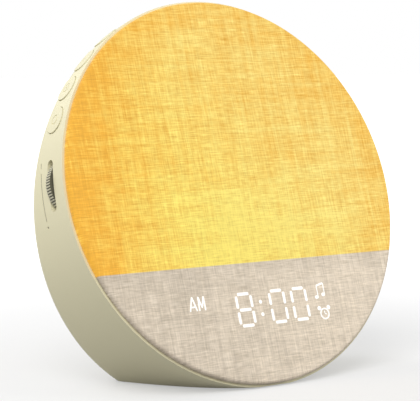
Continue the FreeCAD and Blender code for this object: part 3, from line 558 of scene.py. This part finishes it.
def digit(shapes, left, lit):
    """One digit of up to seven bars; lit holds the letters of its bars."""
    bars = {
        "a": ((0, 1), (1, 1)), "g": ((0, 0), (1, 0)), "d": ((0, -1), (1, -1)),
        "f": ((0, 1), (0, 0)), "b": ((1, 1), (1, 0)), "e": ((0, 0), (0, -1)), "c": ((1, 0), (1, -1)),
    }
    corner = Vector((left + DIGIT_STROKE / 2, DIGIT_MIDDLE))
    span = Vector((DIGIT_WIDTH - DIGIT_STROKE, (DIGIT_HEIGHT - DIGIT_STROKE) / 2))
    for name in lit:
        start, end = (corner + span * Vector(point) for point in bars[name])
        along = (end - start).normalized()
        shapes.stroke(start + along * DIGIT_GAP, end - along * DIGIT_GAP, DIGIT_STROKE)


def half_of_day(shapes):
    """The letters A and M, from their left foot."""
    top, foot, bar = 6.1, 0.0, 1.8
    pen = 0.75 * MM
    corner = Vector((-37.6, -51.1)) * MM
    letter_a = [((0, foot), (1.8, top)), ((1.8, top), (3.6, foot)), ((0.8, bar), (2.8, bar))]
    left, dip, right = (4.9, top), (6.3, 1.2), (7.7, top)
    letter_m = [((4.8, foot), left), (left, dip), (dip, right), (right, (7.8, foot))]
    for a, b in letter_a + letter_m:
        shapes.stroke(corner + Vector(a) * MM, corner + Vector(b) * MM, pen)


def note_sign(shapes):
    """Two quavers under one beam."""
    middle = Vector((32.9, -47.7)) * MM
    for side in (-1, 1):
        head = middle + Vector((side * 1.9 - 0.8, side * 0.45 - 2.5)) * MM
        shapes.disc(head, 1.05 * MM, 0.8)
        stem = head + Vector((0.8, 0)) * MM
        shapes.stroke(stem, stem + Vector((0, 5.0)) * MM, 0.55 * MM)
    beam = middle + Vector((-2.0, 2.05)) * MM
    shapes.stroke(beam, beam + Vector((3.9, 0.95)) * MM, 0.9 * MM)


def alarm_sign(shapes):
    """A small clock with two bells."""
    middle = Vector((32.9, -58.2)) * MM
    shapes.ring(middle, 2.25 * MM, 0.7 * MM)
    shapes.stroke(middle, middle + Vector((0, 1.3)) * MM, 0.5 * MM)
    shapes.stroke(middle, middle + Vector((1.1, -0.3)) * MM, 0.5 * MM)
    for side in (-1, 1):
        shapes.disc(middle + Vector((side * 2.6, 2.6)) * MM, 1.0 * MM)


def wall_strip(verts, faces, angles, depths, radius, thickness):
    """A thin strip on the wall between two angles from the top, to the viewer's left, and two depths."""
    steps = 40
    first = len(verts)
    for step in range(steps + 1):
        turn = math.radians(angles[0] + (angles[1] - angles[0]) * step / steps)
        for reach in (radius, radius + thickness):
            for depth in depths:
                verts.append(FACE @ Vector((-reach * math.sin(turn), depth, reach * math.cos(turn))))
    for step in range(steps):
        a = first + 4 * step
        for one, two in ((0, 1), (1, 3), (3, 2), (2, 0)):
            faces.append([a + one, a + two, a + 4 + two, a + 4 + one])
    last = first + 4 * steps
    faces += [[first, first + 2, first + 3, first + 1], [last, last + 1, last + 3, last + 2]]


LINE_DEPTH = 20.2 * MM
LINE_WIDTH = 0.6 * MM
LINE_CUT = 0.3 * MM
LINE_FILL = 0.12 * MM
LINE_MARGIN = 0.05 * MM
LINE_ANGLES = (79.7, 93.1)
DASH_ANGLES = (76.7, 78.1)
PAINT_LIFT = 0.01 * MM
DOT_ANGLE = 94.9
DOT_HALF_SIDE = 0.37 * MM


def level_paint(look):
    """Grey paint on the floors of the level mark's grooves and of its dot."""
    verts = []
    faces = []
    depths = (LINE_DEPTH - LINE_WIDTH / 2 + LINE_MARGIN, LINE_DEPTH + LINE_WIDTH / 2 - LINE_MARGIN)
    radius = DRUM_RADIUS - LINE_CUT + PAINT_LIFT
    for angles in (LINE_ANGLES, DASH_ANGLES):
        wall_strip(verts, faces, angles, depths, radius, LINE_FILL)
    half_turn = math.degrees(DOT_HALF_SIDE / DRUM_RADIUS)
    dot_depths = (LINE_DEPTH - DOT_HALF_SIDE, LINE_DEPTH + DOT_HALF_SIDE)
    wall_strip(verts, faces, (DOT_ANGLE - half_turn, DOT_ANGLE + half_turn), dot_depths, radius, LINE_FILL)
    new_object("level_paint", verts, faces, look, "housing", smooth=False)


def display(look):
    """The time, its half of the day and two signs, as light in the linen."""
    shapes = Shapes()
    for left, lit in zip(DIGIT_LEFTS, ("abcdefg", "abcdef", "abcdef")):
        digit(shapes, left, lit)
    for side in (-1, 1):
        shapes.disc((COLON_X, DIGIT_MIDDLE + side * COLON_SPAN / 2), 0.85 * MM)
    half_of_day(shapes)
    note_sign(shapes)
    alarm_sign(shapes)
    piece = new_object("display_light", shapes.verts, shapes.faces, look, "housing", smooth=False)


def floor_look():
    """Near white where it is seen, whiter far away, and dark for the light that it throws back up."""
    white = (1, 1, 1)
    look = Look("floor", shaded(white, FLOOR_SEEN), 0.9, specular=0.1)
    nodes, links = look.nodes, look.links
    path = nodes.new("ShaderNodeLightPath")
    seen = look.math("MAXIMUM", path.outputs["Is Camera Ray"], path.outputs["Is Glossy Ray"])
    seen = look.math("MAXIMUM", seen, path.outputs["Is Transmission Ray"])
    grain = swing(look, look.noise(6.0, 2.0), 0.01, FLOOR_SEEN)
    look.color(look.mix(seen, shaded(white, FLOOR_BOUNCE), look.scaled(white, grain)))
    length = nodes.new("ShaderNodeVectorMath")
    length.operation = "LENGTH"
    links.new(look.place(), length.inputs[0])
    distance = look.smooth(length.outputs["Value"], *FLOOR_FADE)
    lift = look.math("MULTIPLY_ADD", distance, FAR_FLOOR_LIFT, FLOOR_LIFT)
    glow = nodes.new("ShaderNodeEmission")
    links.new(look.math("MULTIPLY", seen, lift), glow.inputs["Strength"])
    add = nodes.new("ShaderNodeAddShader")
    links.new(look.shader.outputs[0], add.inputs[0])
    links.new(glow.outputs[0], add.inputs[1])
    links.new(add.outputs[0], nodes["Material Output"].inputs["Surface"])
    return look


def add_floor():
    """The ground that the clock stands on, which keeps its shadow."""
    mesh = bpy.data.meshes.new("floor")
    corners = ((-1, -1), (1, -1), (1, 1), (-1, 1))
    mesh.from_pydata([(x * FLOOR_SIZE, y * FLOOR_SIZE, 0) for x, y in corners], [], [(0, 1, 2, 3)])
    mesh.materials.append(floor_look().material)
    floor = bpy.data.objects.new("floor", mesh)
    bpy.context.scene.collection.objects.link(floor)


def add_world():
    """White where the camera sees it, and dimmer as light on the clock."""
    world = bpy.data.worlds.new("studio")
    bpy.context.scene.world = world
    world.use_nodes = True
    nodes, links = world.node_tree.nodes, world.node_tree.links
    path = nodes.new("ShaderNodeLightPath")
    first = nodes.new("ShaderNodeMath")
    first.operation = "MAXIMUM"
    links.new(path.outputs["Is Camera Ray"], first.inputs[0])
    links.new(path.outputs["Is Transmission Ray"], first.inputs[1])
    strength = nodes.new("ShaderNodeMath")
    strength.operation = "MULTIPLY_ADD"
    strength.inputs[1].default_value = 1.0 - WORLD_LIGHT
    strength.inputs[2].default_value = WORLD_LIGHT
    links.new(first.outputs[0], strength.inputs[0])
    links.new(strength.outputs[0], nodes["Background"].inputs["Strength"])
    nodes["Background"].inputs["Color"].default_value = (1, 1, 1, 1)


def add_lamp(name, place, aim, size, power):
    data = bpy.data.lights.new(name, "AREA")
    data.size = size
    data.energy = power
    lamp = bpy.data.objects.new(name, data)
    lamp.location = place
    lamp.rotation_euler = (Vector(aim) - Vector(place)).to_track_quat("-Z", "Y").to_euler()
    bpy.context.scene.collection.objects.link(lamp)


def add_lights():
    aim = (0, 0, 0.08)
    add_lamp("key", (-1.05, -0.8, 1.45), aim, 1.2, 23.3)
    add_lamp("fill", (1.3, -1.0, 0.9), aim, 1.4, 9)
    add_lamp("back", (-0.5, 1.4, 1.1), aim, 1.2, 10)


bpy.context.scene.view_settings.view_transform = "Standard"
add_camera()
add_floor()
add_world()
add_lights()
looks = make_looks()
dress_frame(looks)
linen_front(linen_look())
display(lit_look())
level_paint(looks["mark"])
